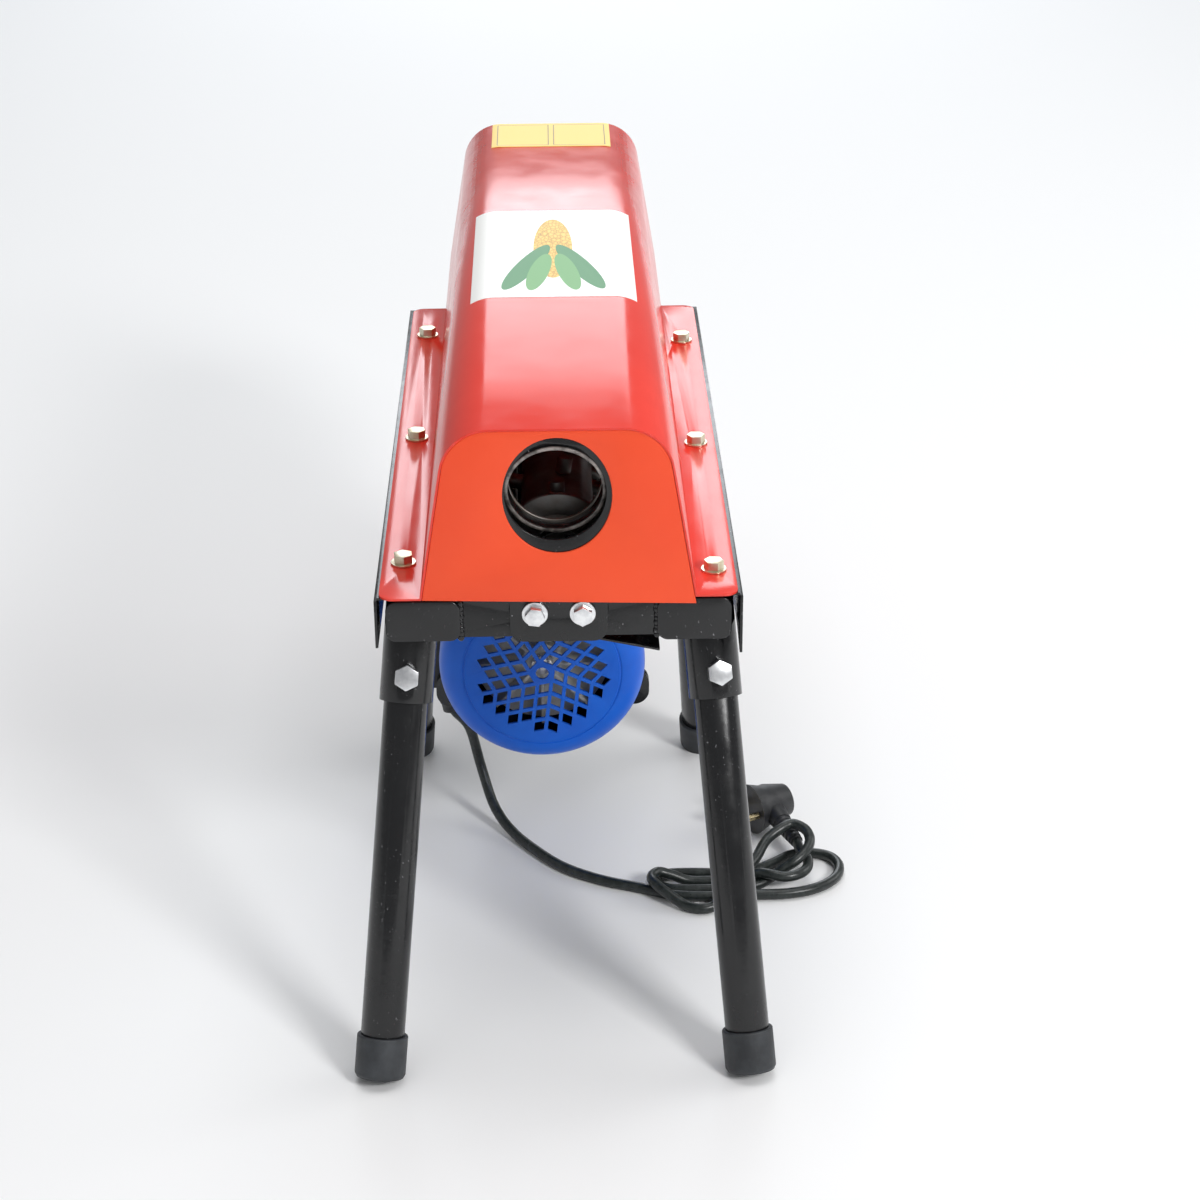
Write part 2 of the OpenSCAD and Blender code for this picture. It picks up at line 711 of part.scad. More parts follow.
// Shelling studs in four slow spirals
module rotor_studs() color("dimgray") on_deck() translate([0, 0, rotor_z]) difference() {
    pitch = 36;
    for (row = [0:3], k = [0:studs_in_row - 1])
        translate([0, drum_y[0] + 16 + k * pitch + row * pitch / 4, 0])
            rotate([0, row * 90 + k * 10, 0]) cylinder(r = 4.5, h = stud_tip_r);
    rod_y(drum_r, drum_y[0], drum_y[1]);
}

module motor_shaft() color("silver") on_deck() at_motor()
    rod_y(motor_shaft_r, fan_y - 4, belt_y + pulley_w / 2 + 3);

// Plastic cooling fan: a back disc with straight blades
module motor_fan() color("lightgray") on_deck() at_motor() difference() {
    union() {
        rod_y(44, fan_y + 9, fan_y + 11);
        rod_y(13, fan_y, fan_y + 11);
        for (a = [0:45:315]) rotate([0, a, 0]) translate([10, fan_y - 3, -1]) cube([33, 13, 2]);
    }
    rod_y(motor_shaft_r, fan_y - 10, fan_y + 20);
}

module motor_rotor_core() color("silver") on_deck() at_motor() difference() {
    rod_y(35.5, 266, 358);
    rod_y(motor_shaft_r, 260, 370);
}

// Catmull-Rom curve through the route's points, and evenly spread rings along it
function spline(p, i, t) = let(
        a = p[max(i - 1, 0)], b = p[i], c = p[i + 1], d = p[min(i + 2, len(p) - 1)])
    0.5 * (2 * b + (c - a) * t + (2 * a - 5 * b + 4 * c - d) * t * t
        + (3 * b - a - 3 * c + d) * t * t * t);
function unit(v) = v / norm(v);
function above_floor(p) = [p[0], p[1], max(p[2], cord_d / 2 + 0.1)];

cord_line = [for (i = [0:len(cord_route) - 2])
    let(n = max(1, round(norm(cord_route[i + 1] - cord_route[i]) / cord_ring_step)))
        for (k = [0:n - 1]) above_floor(spline(cord_route, i, k / n)),
    cord_route[len(cord_route) - 1]];
cord_rings = len(cord_line);
function cord_heading(i) =
    unit(cord_line[min(i + 1, cord_rings - 1)] - cord_line[max(i - 1, 0)]);
// A side direction that turns with the cord without twisting it
function cord_side(i, side) = i == 0 ? side :
    let(s = cord_side(i - 1, side)) unit(s - (s * cord_heading(i)) * cord_heading(i));

module power_cord() color("black") {
    r = cord_d / 2;
    points = [for (i = [0:cord_rings - 1])
        let(u = cord_side(i, [1, 0, 0]), w = cross(cord_heading(i), u))
            for (k = [0:cord_sides - 1])
                cord_line[i] + r * (cos(k * 360 / cord_sides) * u + sin(k * 360 / cord_sides) * w)];
    sides = [for (i = [0:cord_rings - 2], k = [0:cord_sides - 1])
        let(m = (k + 1) % cord_sides, a = i * cord_sides, b = a + cord_sides)
            each [[a + k, b + k, b + m], [a + k, b + m, a + m]]];
    last = (cord_rings - 1) * cord_sides;
    ends = [[for (k = [0:cord_sides - 1]) k], [for (k = [cord_sides - 1:-1:0]) last + k]];
    polyhedron(points, concat(sides, ends));
}

module at_plug() translate(plug_at) rotate([0, 0, plug_turn]) children();

// Moulded plug body: round face, tapered back, and a spout to the side for the cord
module plug() color("black") {
    cord_end = cord_route[len(cord_route) - 1];
    at_plug() rotate([0, 90, 0]) {
        cylinder(r = plug_face_r, h = 14);
        translate([0, 0, -14]) cylinder(r1 = 11, r2 = plug_face_r, h = 14);
    }
    aim(plug_at, cord_end) cylinder(r1 = 9, r2 = 4.4, h = norm(cord_end - plug_at));
}

module plug_pins() color("silver") at_plug() for (s = [-1, 1])
    translate([14, s * 9.5, 0]) rotate([0, 90, 0]) cylinder(r = 2.4, h = 19);

hood();
front_plate();
hood_screws();
main_label();
rear_label();
feed_tube();
inlet_plate();
inlet_bolts();
front_cross_member();
front_gussets();
left_rail();
right_rail();
rear_cross_member();
cage_front_plate();
cage_rear_plate();
front_bearing();
rear_bearing();
concave_rods();
concave_hoops();
kernel_chute();
cob_chute();
front_crossbar();
rear_crossbar();
motor_plate();
motor_bolts();
motor_feet();
motor_shell();
motor_front_shield();
motor_rear_shield();
stator();
fan_cover();
terminal_box();
terminal_lid();
cable_gland();
socket(0);  // front_left_socket
socket(1);  // front_right_socket
socket(2);  // rear_left_socket
socket(3);  // rear_right_socket
leg(0);  // front_left_leg
leg(1);  // front_right_leg
leg(2);  // rear_left_leg
leg(3);  // rear_right_leg
cap(0);  // front_left_cap
cap(1);  // front_right_cap
cap(2);  // rear_left_cap
cap(3);  // rear_right_cap
leg_bolts();
v_belt();
rotor_shaft();
rotor_drum();
rotor_studs();
rotor_pulley();
motor_shaft();
motor_fan();
motor_rotor_core();
motor_pulley();
power_cord();
plug();
plug_pins();
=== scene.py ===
import json
import math
import random
import bmesh
import bpy
from mathutils import Matrix, Vector

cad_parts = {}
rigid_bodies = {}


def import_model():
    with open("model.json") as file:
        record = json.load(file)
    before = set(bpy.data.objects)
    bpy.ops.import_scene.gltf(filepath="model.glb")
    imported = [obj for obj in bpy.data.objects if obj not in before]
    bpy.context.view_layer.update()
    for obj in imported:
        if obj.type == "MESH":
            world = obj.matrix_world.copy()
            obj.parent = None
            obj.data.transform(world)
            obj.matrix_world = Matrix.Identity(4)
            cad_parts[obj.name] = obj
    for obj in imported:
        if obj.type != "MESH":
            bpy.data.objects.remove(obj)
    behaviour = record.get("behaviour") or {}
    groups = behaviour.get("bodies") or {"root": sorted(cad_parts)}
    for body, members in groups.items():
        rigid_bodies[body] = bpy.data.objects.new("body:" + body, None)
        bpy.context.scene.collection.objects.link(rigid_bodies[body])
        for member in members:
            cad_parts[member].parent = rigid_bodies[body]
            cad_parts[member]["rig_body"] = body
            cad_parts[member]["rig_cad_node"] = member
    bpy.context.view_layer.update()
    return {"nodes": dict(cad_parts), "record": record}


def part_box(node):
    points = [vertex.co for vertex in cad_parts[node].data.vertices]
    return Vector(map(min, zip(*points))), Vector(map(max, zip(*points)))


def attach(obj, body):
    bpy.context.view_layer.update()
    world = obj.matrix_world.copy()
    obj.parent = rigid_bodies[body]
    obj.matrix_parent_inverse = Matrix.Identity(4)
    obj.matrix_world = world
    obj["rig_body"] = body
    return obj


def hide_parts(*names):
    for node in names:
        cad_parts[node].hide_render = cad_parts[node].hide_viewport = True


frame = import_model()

# ---------------------------------------------------------------- Camera, floor and lights
# The viewer stands in front of the feed mouth and looks down on the hood; the machine stands on
# a plain pale floor, lit by a window and a side light on the right, a ceiling light, and two
# bluish sky panels behind.
camera_data = bpy.data.cameras.new("camera")
camera_data.lens = 80.85
camera_data.sensor_width = 36.0
camera = bpy.data.objects.new("camera", camera_data)
bpy.context.scene.collection.objects.link(camera)
camera_right = Vector((0.9998, -0.0213, -0.0068)).normalized()
camera_back = Vector((-0.0163, -0.9031, 0.4290)).normalized()
camera_up = camera_back.cross(camera_right).normalized()
camera_right = camera_up.cross(camera_back)
camera_turn = Matrix((camera_right, camera_up, camera_back)).transposed().to_4x4()
camera.matrix_world = Matrix.Translation((-0.0014, -1.6197, 0.9188)) @ camera_turn
bpy.context.scene.camera = camera
bpy.context.scene.view_settings.view_transform = "Standard"

bpy.ops.object.select_all(action="DESELECT")
bpy.ops.mesh.primitive_plane_add(size=14, location=(0, 0, 0))
floor = bpy.context.object
floor.name = "floor"
floor_paint = bpy.data.materials.new("floor_paint")
floor_paint.use_nodes = True
floor_shader = floor_paint.node_tree.nodes["Principled BSDF"]
floor_shader.inputs["Base Color"].default_value = (0.9, 0.9, 0.9, 1)
floor_shader.inputs["Roughness"].default_value = 0.8
floor.data.materials.append(floor_paint)


def studio_light(name, place, target, wide, high, watts, tint=(1, 1, 1)):
    """A rectangular lamp at a place, aimed at a target."""
    light = bpy.data.lights.new(name, "AREA")
    light.shape = "RECTANGLE"
    light.size = wide
    light.size_y = high
    light.energy = watts
    light.color = tint
    lamp = bpy.data.objects.new(name, light)
    bpy.context.scene.collection.objects.link(lamp)
    away = Vector(place) - Vector(target)
    aim = away.to_track_quat("Z", "Y").to_matrix().to_4x4()
    lamp.matrix_world = Matrix.Translation(place) @ aim


studio_light("window", (1.7, -2.2, 1.9), (0, -0.1, 0.2), 0.7, 0.7, 52)
studio_light("ceiling", (0, 0.2, 3.2), (0, 0.2, 0), 2.5, 2.5, 38)
studio_light("right_side", (2.4, 0.6, 1.5), (0, 0, 0.3), 1.6, 1.2, 15)
studio_light("sky_high", (0.1, 3.4, 2.35), (0, 0.1, 0.38), 1.5, 1.5, 25, (0.9, 0.95, 1.0))
studio_light("sky_low", (0.1, 3.5, 1.15), (0, 0.3, 0.38), 1.5, 0.9, 12, (0.9, 0.95, 1.0))
world = bpy.data.worlds.new("room")
world.use_nodes = True
world.node_tree.nodes["Background"].inputs["Color"].default_value = (0.97, 0.98, 1.0, 1)
world.node_tree.nodes["Background"].inputs["Strength"].default_value = 0.36
bpy.context.scene.world = world

# ---------------------------------------------------------------- Mains cord
# Round rubber sheathed cord, 6.8 mm thick. It drops from the gland under the terminal box, runs
# over the floor to the right and lies there in loose loops that end at the plug.
cord_route = [
    (-74, -15.15, 100), (-74, -15.15, 88), (-71, -14, 76), (-61, -11.5, 61), (-53.5, -19, 34),
    (-44, -37, 12), (-28, -62, 3.7), (-2, -97, 3.6), (24, -116, 3.6), (50, -127, 3.6),
    (72, -137, 3.6), (96, -139, 3.6), (124, -138, 3.6), (146, -137, 3.6), (164, -131, 3.6),
    (177, -119, 3.6), (181, -104, 3.6), (176, -92, 3.6), (164, -87, 3.6), (151, -89, 3.6),
    (140, -98, 3.6), (126, -107, 3.6), (108, -111, 3.6), (88, -110, 3.6), (71, -110, 3.6),
    (63, -114, 3.6), (61, -120, 3.6), (65, -127, 3.6), (74, -130, 3.6), (92, -130.5, 3.6),
    (112, -130, 3.6), (126, -126, 3.6), (135, -120.5, 5.5), (143, -117.5, 10),
    (151.5, -115, 14.5), (158.8, -108.5, 18.3), (162, -99.7, 21), (160, -90, 23),
    (152.1, -83.6, 24), (144.2, -87, 22.5), (134, -94, 18), (126, -108, 12.5),
    (118, -121, 10.9), (110, -134, 10.9), (104, -144, 9.5), (97, -151.5, 4.6), (88, -154, 3.7),
    (78, -150, 4.1), (68, -143, 8), (60, -135, 10.9), (57.5, -126.5, 10.9), (62, -120, 10.9),
    (71, -119.5, 8), (82, -120, 4), (98, -120.3, 3.7), (114, -120.3, 3.7), (120, -120.5, 5),
    (127, -122.5, 10.2), (134, -126, 11.4), (143, -128.5, 10.8), (152, -126, 10.8),
    (158.5, -118.5, 10.8), (160, -107.5, 10.9), (156.2, -97.8, 12.1), (154.6, -88, 13)]
cord_radius = 0.0034
cord_lowest = 3.5
cord_line = bpy.data.curves.new("mains_cord", "CURVE")
cord_line.dimensions = "3D"
cord_line.bevel_depth = cord_radius
cord_line.bevel_resolution = 5
cord_line.use_fill_caps = True


def along_route(knots, steps):
    """Points of a smooth curve through the route's knots, kept above the floor."""
    points = []
    for k in range(len(knots) - 1):
        a, b = Vector(knots[max(k - 1, 0)]), Vector(knots[k])
        c, d = Vector(knots[k + 1]), Vector(knots[min(k + 2, len(knots) - 1)])
        for t in (step / steps for step in range(steps)):
            points.append(0.5 * (2 * b + (c - a) * t + (2 * a - 5 * b + 4 * c - d) * t * t
                                 + (3 * b - a - 3 * c + d) * t ** 3))
    points.append(Vector(knots[-1]))
    return [Vector((p.x, p.y, max(p.z, cord_lowest))) / 1000 for p in points]


cord_points = along_route(cord_route, 5)
cord_spline = cord_line.splines.new("POLY")
cord_spline.points.add(len(cord_points) - 1)
for knot, point in zip(cord_spline.points, cord_points):
    knot.co = (*point, 1)
cord_spline.use_smooth = True
mains_cord = bpy.data.objects.new("mains_cord", cord_line)
bpy.context.scene.collection.objects.link(mains_cord)


def new_finish(name, colour, rough, **more):
    """A material with its shader's plain values set, and its nodes and links at hand."""
    finish = bpy.data.materials.new(name)
    finish.use_nodes = True
    shader = finish.node_tree.nodes["Principled BSDF"]
    shader.inputs["Base Color"].default_value = (*colour, 1)
    shader.inputs["Roughness"].default_value = rough
    for socket, value in more.items():
        shader.inputs[socket.replace("_", " ")].default_value = value
    return finish, shader


def grain(finish, scale, detail=3.0, stretch=(1, 1, 1), rough=0.55):
    """Noise on the object's own coordinates, in repeats to the metre."""
    nodes, links = finish.node_tree.nodes, finish.node_tree.links
    place = nodes.new("ShaderNodeTexCoord")
    mapping = nodes.new("ShaderNodeMapping")
    mapping.inputs["Scale"].default_value = stretch
    noise = nodes.new("ShaderNodeTexNoise")
    noise.inputs["Scale"].default_value = scale
    noise.inputs["Detail"].default_value = detail
    noise.inputs["Roughness"].default_value = rough
    links.new(place.outputs["Object"], mapping.inputs["Vector"])
    links.new(mapping.outputs["Vector"], noise.inputs["Vector"])
    return noise.outputs["Fac"]


def ramp(finish, source, stops):
    """Colour ramp over a grain: stops are (place, grey or colour)."""
    step = finish.node_tree.nodes.new("ShaderNodeValToRGB")
    for at, stop in enumerate(stops):
        value = stop[1] if isinstance(stop[1], tuple) else (stop[1],) * 3
        element = step.color_ramp.elements[at] if at < 2 else step.color_ramp.elements.new(stop[0])
        element.position = stop[0]
        element.color = (*value, 1)
    finish.node_tree.links.new(source, step.inputs["Fac"])
    return step.outputs["Color"]


def blend_colour(finish, shader, mask, under, over):
    """Base colour that goes from one colour to another where the mask is white."""
    mix = finish.node_tree.nodes.new("ShaderNodeMix")
    mix.data_type = "RGBA"
    for socket, value in (("A", under), ("B", over)):
        target = [s for s in mix.inputs if s.name == socket and s.type == "RGBA"][0]
        if isinstance(value, tuple):
            target.default_value = (*value, 1)
        else:
            finish.node_tree.links.new(value, target)
    finish.node_tree.links.new(mask, mix.inputs["Factor"])
    result = [s for s in mix.outputs if s.type == "RGBA"][0]
    finish.node_tree.links.new(result, shader.inputs["Base Color"])
    return result


def add_bump(finish, shader, height, strength, depth):
    """Fine relief from a height, at most depth metres deep."""
    bump = finish.node_tree.nodes.new("ShaderNodeBump")
    bump.inputs["Strength"].default_value = strength
    bump.inputs["Distance"].default_value = depth
    finish.node_tree.links.new(height, bump.inputs["Height"])
    finish.node_tree.links.new(bump.outputs["Normal"], shader.inputs["Normal"])


def paint(piece, finish):
    """Gives the piece one finish all over."""
    piece.data.materials.clear()
    piece.data.materials.append(finish)


cord_rubber, shader = new_finish("cord_rubber", (0.016, 0.02, 0.019), 0.32)
dust = ramp(cord_rubber, grain(cord_rubber, 260), ((0.42, 0.0), (0.75, 1.0)))
blend_colour(cord_rubber, shader, dust, (0.012, 0.016, 0.015), (0.035, 0.042, 0.04))
cord_sheen = ramp(cord_rubber, grain(cord_rubber, 900), ((0.3, 0.26), (0.8, 0.42)))
cord_rubber.node_tree.links.new(cord_sheen, shader.inputs["Roughness"])
add_bump(cord_rubber, shader, grain(cord_rubber, 2200), 0.12, 0.0003)
paint(mains_cord, cord_rubber)
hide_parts("power_cord")
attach(mains_cord, "machine")


def fresh(name):
    """Names the object just added and hands it back."""
    piece = bpy.context.object
    piece.name = name
    piece.data.name = name
    return piece


def settle(piece):
    """Moves the piece's place, turn and size into its mesh."""
    bpy.ops.object.select_all(action="DESELECT")
    piece.select_set(True)
    bpy.context.view_layer.objects.active = piece
    bpy.ops.object.transform_apply(location=True, rotation=True, scale=True)
    return piece


def apply_bevel(piece, width, segments=2, angle=35):
    """Rounds the piece's sharp edges and shades the rest smooth."""
    bpy.ops.object.select_all(action="DESELECT")
    piece.select_set(True)
    bpy.context.view_layer.objects.active = piece
    bevel = piece.modifiers.new("edges", "BEVEL")
    bevel.width = width
    bevel.segments = segments
    bevel.limit_method = "ANGLE"
    bevel.angle_limit = math.radians(angle)
    bpy.ops.object.modifier_apply(modifier=bevel.name)
    bpy.ops.object.shade_smooth_by_angle(angle=math.radians(angle))
    return piece


def joined(name, pieces):
    """Makes the pieces one object, without merging their shells."""
    bpy.ops.object.select_all(action="DESELECT")
    for piece in pieces:
        piece.select_set(True)
    bpy.context.view_layer.objects.active = pieces[0]
    bpy.ops.object.join()
    return fresh(name)


# ---------------------------------------------------------------- Plug
# Moulded rubber plug lying on its rim: a round face with a finger ledge behind it, a tapered
# back, and a ribbed spout that leads the cord off to the side; two round brass pins.
plug_middle = Vector((0.139, -0.046, 0.0176))
plug_turn = math.radians(208)
cord_end = Vector(cord_route[-1]) / 1000
bpy.ops.object.select_all(action="DESELECT")
plug_radius = 0.0173
plug_depth = 0.028
bpy.ops.mesh.primitive_cylinder_add(vertices=40, radius=plug_radius, depth=plug_depth)
plug_body = fresh("plug_body")
bpy.ops.object.mode_set(mode="EDIT")
shape = bmesh.from_edit_mesh(plug_body.data)
for face in shape.faces:
    face.select_set(face.normal.z < -0.9)
bmesh.update_edit_mesh(plug_body.data)
bpy.ops.transform.resize(value=(0.62, 0.62, 1))
bpy.ops.mesh.select_all(action="DESELECT")
shape = bmesh.from_edit_mesh(plug_body.data)
for face in shape.faces:
    face.select_set(face.normal.z > 0.9)
bmesh.update_edit_mesh(plug_body.data)
bpy.ops.mesh.inset(thickness=0.0012)
bpy.ops.transform.translate(value=(0, 0, -0.0007))
bpy.ops.mesh.select_all(action="SELECT")
ledge_low, ledge_high = 0.0005, 0.004
bpy.ops.mesh.bisect(plane_co=(0, 0, ledge_high), plane_no=(0, 0, 1))
bpy.ops.mesh.select_all(action="SELECT")
bpy.ops.mesh.bisect(plane_co=(0, 0, ledge_low), plane_no=(0, 0, 1))
bpy.ops.mesh.select_all(action="DESELECT")
shape = bmesh.from_edit_mesh(plug_body.data)
for face in shape.faces:
    middle = face.calc_center_median()
    face.select_set(ledge_low < middle.z < ledge_high and abs(face.normal.z) < 0.8)
bmesh.update_edit_mesh(plug_body.data)
bpy.ops.transform.resize(value=(0.93, 0.93, 1))
bpy.ops.object.mode_set(mode="OBJECT")
plug_body.matrix_world = (Matrix.Translation(plug_middle) @ Matrix.Rotation(plug_turn, 4, "Z")
                          @ Matrix.Rotation(math.radians(90), 4, "Y"))
settle(plug_body)
spout_axis = cord_end - plug_middle
spout_turn = spout_axis.to_track_quat("Z", "Y").to_matrix().to_4x4()
rib_step = 0.045
first_rib = 0.49
bpy.ops.object.select_all(action="DESELECT")
bpy.ops.mesh.primitive_cone_add(vertices=28, radius1=0.0088, radius2=0.0043,
                                depth=spout_axis.length, end_fill_type="NGON")
plug_spout = fresh("plug_spout")
bpy.ops.object.mode_set(mode="EDIT")
for rib in range(12):
    bpy.ops.mesh.select_all(action="SELECT")
    bpy.ops.mesh.bisect(plane_co=(0, 0, spout_axis.length * (first_rib - rib_step * rib)),
                        plane_no=(0, 0, 1))
bpy.ops.mesh.select_all(action="DESELECT")
shape = bmesh.from_edit_mesh(plug_spout.data)
for face in shape.faces:
    height = first_rib - face.calc_center_median().z / spout_axis.length
    face.select_set(abs(face.normal.z) < 0.8 and 0 < height < 0.495
                    and int(height / rib_step) % 2 == 0)
bmesh.update_edit_mesh(plug_spout.data)
bpy.ops.mesh.extrude_region_shrink_fatten(TRANSFORM_OT_shrink_fatten={"value": -0.0007})
bpy.ops.object.mode_set(mode="OBJECT")
plug_spout.matrix_world = Matrix.Translation(plug_middle + spout_axis / 2) @ spout_turn
settle(plug_spout)
for part in (plug_body, plug_spout):
    apply_bevel(part, 0.0005, 2, 28)
plug_piece = joined("mains_plug", [plug_body, plug_spout])
plug_rubber, shader = new_finish("plug_rubber", (0.022, 0.022, 0.024), 0.45)
blend_colour(plug_rubber, shader,
             ramp(plug_rubber, grain(plug_rubber, 120), ((0.4, 0.0), (0.8, 1.0))),
             (0.014, 0.015, 0.017), (0.04, 0.041, 0.043))
add_bump(plug_rubber, shader, grain(plug_rubber, 3000), 0.2, 0.0003)
paint(plug_piece, plug_rubber)
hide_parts("plug")
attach(plug_piece, "machine")
pin_metal, shader = new_finish("pin_metal", (0.72, 0.6, 0.36), 0.22, Metallic=1.0)
pin_metal.node_tree.links.new(
    ramp(pin_metal, grain(pin_metal, 700, stretch=(1, 1, 6)), ((0.3, 0.15), (0.8, 0.4))),
    shader.inputs["Roughness"])
paint(frame["nodes"]["plug_pins"], pin_metal)

# ---------------------------------------------------------------- Cable gland
# Hex gland nut screwed into the terminal box from below, with a tapered rubber sleeve that
# keeps the cord from kinking where it comes out.
gland_low, gland_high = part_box("cable_gland")
gland_x = (gland_low.x + gland_high.x) / 2
gland_y = (gland_low.y + gland_high.y) / 2
gland_face = gland_low.z + 0.014
bpy.ops.object.select_all(action="DESELECT")
bpy.ops.mesh.primitive_cylinder_add(vertices=6, radius=0.0095, depth=0.007,
                                    location=(gland_x, gland_y, gland_face - 0.0035))
gland_nut = settle(fresh("gland_nut"))
apply_bevel(gland_nut, 0.0008, 3)
bpy.ops.object.select_all(action="DESELECT")
bpy.ops.mesh.primitive_cone_add(vertices=32, radius1=0.0042, radius2=0.0078, depth=0.019,
                                location=(gland_x, gland_y, gland_face - 0.0162))
gland_sleeve = settle(fresh("gland_sleeve"))
bpy.ops.object.mode_set(mode="EDIT")
ring_step = 0.0028
first_ring = gland_face - 0.011
for ring in range(5):
    bpy.ops.mesh.select_all(action="SELECT")
    bpy.ops.mesh.bisect(plane_co=(0, 0, first_ring - ring_step * ring), plane_no=(0, 0, 1))
bpy.ops.mesh.select_all(action="DESELECT")
shape = bmesh.from_edit_mesh(gland_sleeve.data)
for face in shape.faces:
    depth = (first_ring - face.calc_center_median().z) / ring_step
    face.select_set(0 < depth < 4 and int(depth) % 2 == 0 and abs(face.normal.z) < 0.8)
bmesh.update_edit_mesh(gland_sleeve.data)
bpy.ops.mesh.extrude_region_shrink_fatten(TRANSFORM_OT_shrink_fatten={"value": 0.0006})
bpy.ops.object.mode_set(mode="OBJECT")
apply_bevel(gland_sleeve, 0.0003, 2)
gland_piece = joined("gland_with_sleeve", [gland_nut, gland_sleeve])
paint(gland_piece, plug_rubber)
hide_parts("cable_gland")
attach(gland_piece, "machine")


def rounded_copy(node, name, edge, segments=2, angle=35):
    """A copy of a CAD part with its broken edges rounded; it takes the part's place."""
    piece = frame["nodes"][node].copy()
    piece.data = frame["nodes"][node].data.copy()
    piece.name = name
    piece.data.name = name
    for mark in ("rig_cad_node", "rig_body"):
        if mark in piece:
            del piece[mark]
    piece.parent = None
    bpy.context.scene.collection.objects.link(piece)
    bpy.ops.object.select_all(action="DESELECT")
    piece.select_set(True)
    bpy.context.view_layer.objects.active = piece
    bpy.ops.object.mode_set(mode="EDIT")
    bpy.ops.mesh.select_all(action="SELECT")
    bpy.ops.mesh.remove_doubles(threshold=0.000005)
    bpy.ops.mesh.dissolve_limited(angle_limit=math.radians(0.6))
    bpy.ops.object.mode_set(mode="OBJECT")
    apply_bevel(piece, edge, segments, angle)
    body = [b for b, n in frame["record"]["behaviour"]["bodies"].items() if node in n][0]
    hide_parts(node)
    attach(piece, body)
    return piece


# ---------------------------------------------------------------- Hood
# One sheet of steel, 1.2 mm, bent into a long tunnel with a flange down each side and sprayed
# with glossy red enamel; the skin has slow waves from bending and its gloss varies a little.
hood_enamel, shader = new_finish("hood_enamel", (0.8, 0.06, 0.03), 0.16)
wear = ramp(hood_enamel, grain(hood_enamel, 9, 4), ((0.35, 0.0), (0.75, 1.0)))
blend_colour(hood_enamel, shader, wear, (0.8, 0.05, 0.03), (0.72, 0.04, 0.026))
hood_sheen = ramp(hood_enamel, grain(hood_enamel, 40, 5), ((0.3, 0.13), (0.8, 0.26)))
hood_enamel.node_tree.links.new(hood_sheen, shader.inputs["Roughness"])
add_bump(hood_enamel, shader, grain(hood_enamel, 9, 3, (1.6, 0.6, 1)), 0.3, 0.0012)
hood_piece = rounded_copy("hood", "hood_skin", 0.0003)
paint(hood_piece, hood_enamel)

# ---------------------------------------------------------------- Front plate
# Red steel plate set into the hood's mouth, with an oval hole for the feed tube and rounded
# edges. Its paint is flatter than the hood's, with a fine grain.
plate_enamel, shader = new_finish("plate_enamel", (0.88, 0.08, 0.024), 0.42, Specular_IOR_Level=0.3)
blend_colour(plate_enamel, shader,
             ramp(plate_enamel, grain(plate_enamel, 14, 5), ((0.35, 0.0), (0.8, 1.0))),
             (0.9, 0.088, 0.026), (0.86, 0.074, 0.023))
plate_sheen = ramp(plate_enamel, grain(plate_enamel, 90, 4), ((0.3, 0.36), (0.8, 0.5)))
plate_enamel.node_tree.links.new(plate_sheen, shader.inputs["Roughness"])
add_bump(plate_enamel, shader, grain(plate_enamel, 600, 3), 0.07, 0.0003)
plate_piece = rounded_copy("front_plate", "front_plate_skin", 0.0006, 3)
paint(plate_piece, plate_enamel)

# ---------------------------------------------------------------- Black frame
# Frame, legs, chutes, inlet plate and the motor's casing: steel under black gloss enamel, with
# orange peel and small bare specks gathered in patches.
frame_enamel, shader = new_finish("frame_enamel", (0.012, 0.012, 0.013), 0.2)
nodes, links = frame_enamel.node_tree.nodes, frame_enamel.node_tree.links
specks = ramp(frame_enamel, grain(frame_enamel, 700, 3, (1, 1, 0.6)), ((0.68, 0.0), (0.72, 1.0)))
patches = ramp(frame_enamel, grain(frame_enamel, 26, 3), ((0.44, 0.0), (0.6, 1.0)))
speck_mask = nodes.new("ShaderNodeMath")
speck_mask.operation = "MULTIPLY"
links.new(specks, speck_mask.inputs[0])
links.new(patches, speck_mask.inputs[1])
blend_colour(frame_enamel, shader, speck_mask.outputs[0], (0.007, 0.0072, 0.008), (0.24, 0.24, 0.25))
links.new(ramp(frame_enamel, grain(frame_enamel, 60, 4), ((0.3, 0.13), (0.8, 0.34))),
          shader.inputs["Roughness"])
add_bump(frame_enamel, shader, grain(frame_enamel, 240, 3), 0.12, 0.0006)
for node, edge in (("inlet_plate", 0.0004), ("front_cross_member", 0.0004),
                   ("front_gussets", 0.0005), ("left_rail", 0.0003), ("right_rail", 0.0003),
                   ("rear_cross_member", 0.0003), ("kernel_chute", 0.0003),
                   ("cob_chute", 0.0003), ("front_crossbar", 0.0004),
                   ("rear_crossbar", 0.0004), ("motor_plate", 0.0004), ("motor_feet", 0.0005),
                   ("front_left_socket", 0.0004), ("front_right_socket", 0.0004),
                   ("rear_left_socket", 0.0004), ("rear_right_socket", 0.0004),
                   ("front_left_leg", 0.0002), ("front_right_leg", 0.0002),
                   ("rear_left_leg", 0.0002), ("rear_right_leg", 0.0002),
                   ("motor_shell", 0.0004), ("motor_front_shield", 0.0006),
                   ("motor_rear_shield", 0.0006)):
    paint(rounded_copy(node, node + "_steel", edge), frame_enamel)

